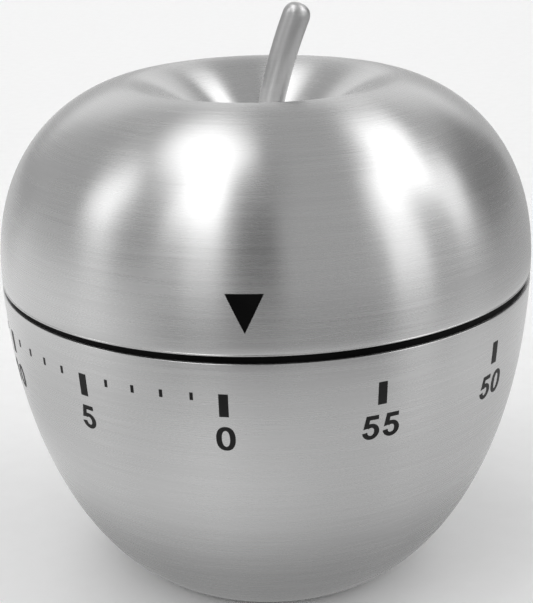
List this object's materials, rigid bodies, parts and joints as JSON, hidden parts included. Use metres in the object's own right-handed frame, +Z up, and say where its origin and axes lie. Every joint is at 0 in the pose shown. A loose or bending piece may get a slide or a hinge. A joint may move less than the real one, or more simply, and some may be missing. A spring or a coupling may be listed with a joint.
{
  "type": "mechanical kitchen timer",
  "caption": "Steel kitchen timer shaped like an apple: its upper half and bent stem turn to wind a spring movement with gear train, escapement and bell in the fixed lower half.",
  "frame": {"origin": "centre of the flat base, on the surface it stands on", "axes": "+Z up through the dial's axis; the zero mark of the scale faces -Y; the stem leans towards +X"},
  "size_m": [0.06, 0.06, 0.0649],
  "materials": {
    "shell_steel": "satin, brushed around the body",
    "rubber": "matte",
    "scale_ink": "matte printed ink",
    "pointer_ink": "matte printed ink",
    "stem_steel": "polished",
    "black_plastic": "matte moulded",
    "hub_plastic": "matte moulded",
    "screw_steel": "zinc plated",
    "plate_brass": "satin, stamped",
    "turned_brass": "turned",
    "wheel_brass": "stamped and cut",
    "arbor_steel": "turned",
    "stamped_steel": "stamped",
    "drum_steel": "drawn, satin",
    "spring_steel": "tempered, dark",
    "bell_steel": "nickel plated"
  },
  "bodies": {
    "case": {"lower_shell": "shell_steel", "base_pad": "rubber", "scale_print": "scale_ink", "movement_carrier": "black_plastic", "mounting_screws": "screw_steel", "bottom_plate": "plate_brass", "top_plate": "plate_brass", "frame_pillars": "turned_brass", "pillar_nuts": "screw_steel", "spring_drum": "drum_steel", "drum_screws": "screw_steel", "mainspring": "spring_steel", "stop_pin": "arbor_steel", "hairspring": "spring_steel", "hairspring_stud": "turned_brass", "bell": "bell_steel", "bell_stud": "turned_brass", "bell_washer": "screw_steel", "bell_screw": "screw_steel"},
    "dial": {"upper_shell": "shell_steel", "pointer_print": "pointer_ink", "stem": "stem_steel", "stem_washer": "screw_steel", "stem_nut": "turned_brass", "dial_hub": "hub_plastic", "main_arbor": "arbor_steel", "stop_cam": "stamped_steel", "ratchet_wheel": "stamped_steel"},
    "great": {"great_wheel": "wheel_brass", "click": "stamped_steel", "click_spring": "spring_steel"},
    "second": {"second_pinion": "arbor_steel", "second_wheel": "wheel_brass"},
    "third": {"third_pinion": "arbor_steel", "third_wheel": "wheel_brass"},
    "escape": {"escape_pinion": "arbor_steel", "escape_wheel": "wheel_brass"},
    "balance": {"balance_staff": "arbor_steel", "balance_ring": "wheel_brass", "pallet_lever": "stamped_steel"},
    "star": {"star_pinion": "arbor_steel", "star_wheel": "stamped_steel"},
    "hammer": {"hammer_arbor": "arbor_steel", "hammer_finger": "stamped_steel", "hammer_tail": "stamped_steel", "hammer_arm": "stamped_steel", "hammer_head": "turned_brass"}
  },
  "joints": [
    {"name": "dial_turn", "type": "hinge", "parent": "case", "child": "dial", "pos_m": [0, 0, 0.039], "axis": [0, 0, -1], "range_deg": [0, 345], "deforming": ["mainspring"]},
    {"name": "great_turn", "type": "hinge", "parent": "case", "child": "great", "pos_m": [0, 0, 0.0241], "axis": [0, 0, -1], "range_deg": [0, 345]},
    {"name": "second_turn", "type": "hinge", "parent": "case", "child": "second", "pos_m": [0, -0.0126, 0.02], "axis": [0, 0, -1], "range_deg": [-2760, 0]},
    {"name": "third_turn", "type": "hinge", "parent": "case", "child": "third", "pos_m": [0.00789, -0.00973, 0.0183], "axis": [0, 0, -1], "range_deg": [0, 16560]},
    {"name": "escape_turn", "type": "hinge", "parent": "case", "child": "escape", "pos_m": [0.0122, -0.00421, 0.0216], "axis": [0, 0, -1], "range_deg": [-99360, 0]},
    {"name": "star_turn", "type": "hinge", "parent": "case", "child": "star", "pos_m": [-0.01091, 0.0063, 0.0214], "axis": [0, 0, -1], "range_deg": [-2760, 0]},
    {"name": "balance_swing", "type": "hinge", "parent": "case", "child": "balance", "pos_m": [0.0134, 0.00258, 0.0228], "axis": [0, 0, 1], "range_deg": [-8, 8], "deforming": ["hairspring"]},
    {"name": "hammer_swing", "type": "hinge", "parent": "case", "child": "hammer", "pos_m": [-0.00781, 0.01167, 0.014], "axis": [0, 0, 1], "range_deg": [0, 14]}
  ],
  "couplings": [
    {"joint": "great_turn", "follows": "dial_turn", "ratio": 1},
    {"joint": "second_turn", "follows": "dial_turn", "ratio": -8},
    {"joint": "third_turn", "follows": "dial_turn", "ratio": 48},
    {"joint": "escape_turn", "follows": "dial_turn", "ratio": -288},
    {"joint": "star_turn", "follows": "dial_turn", "ratio": -8}
  ]
}
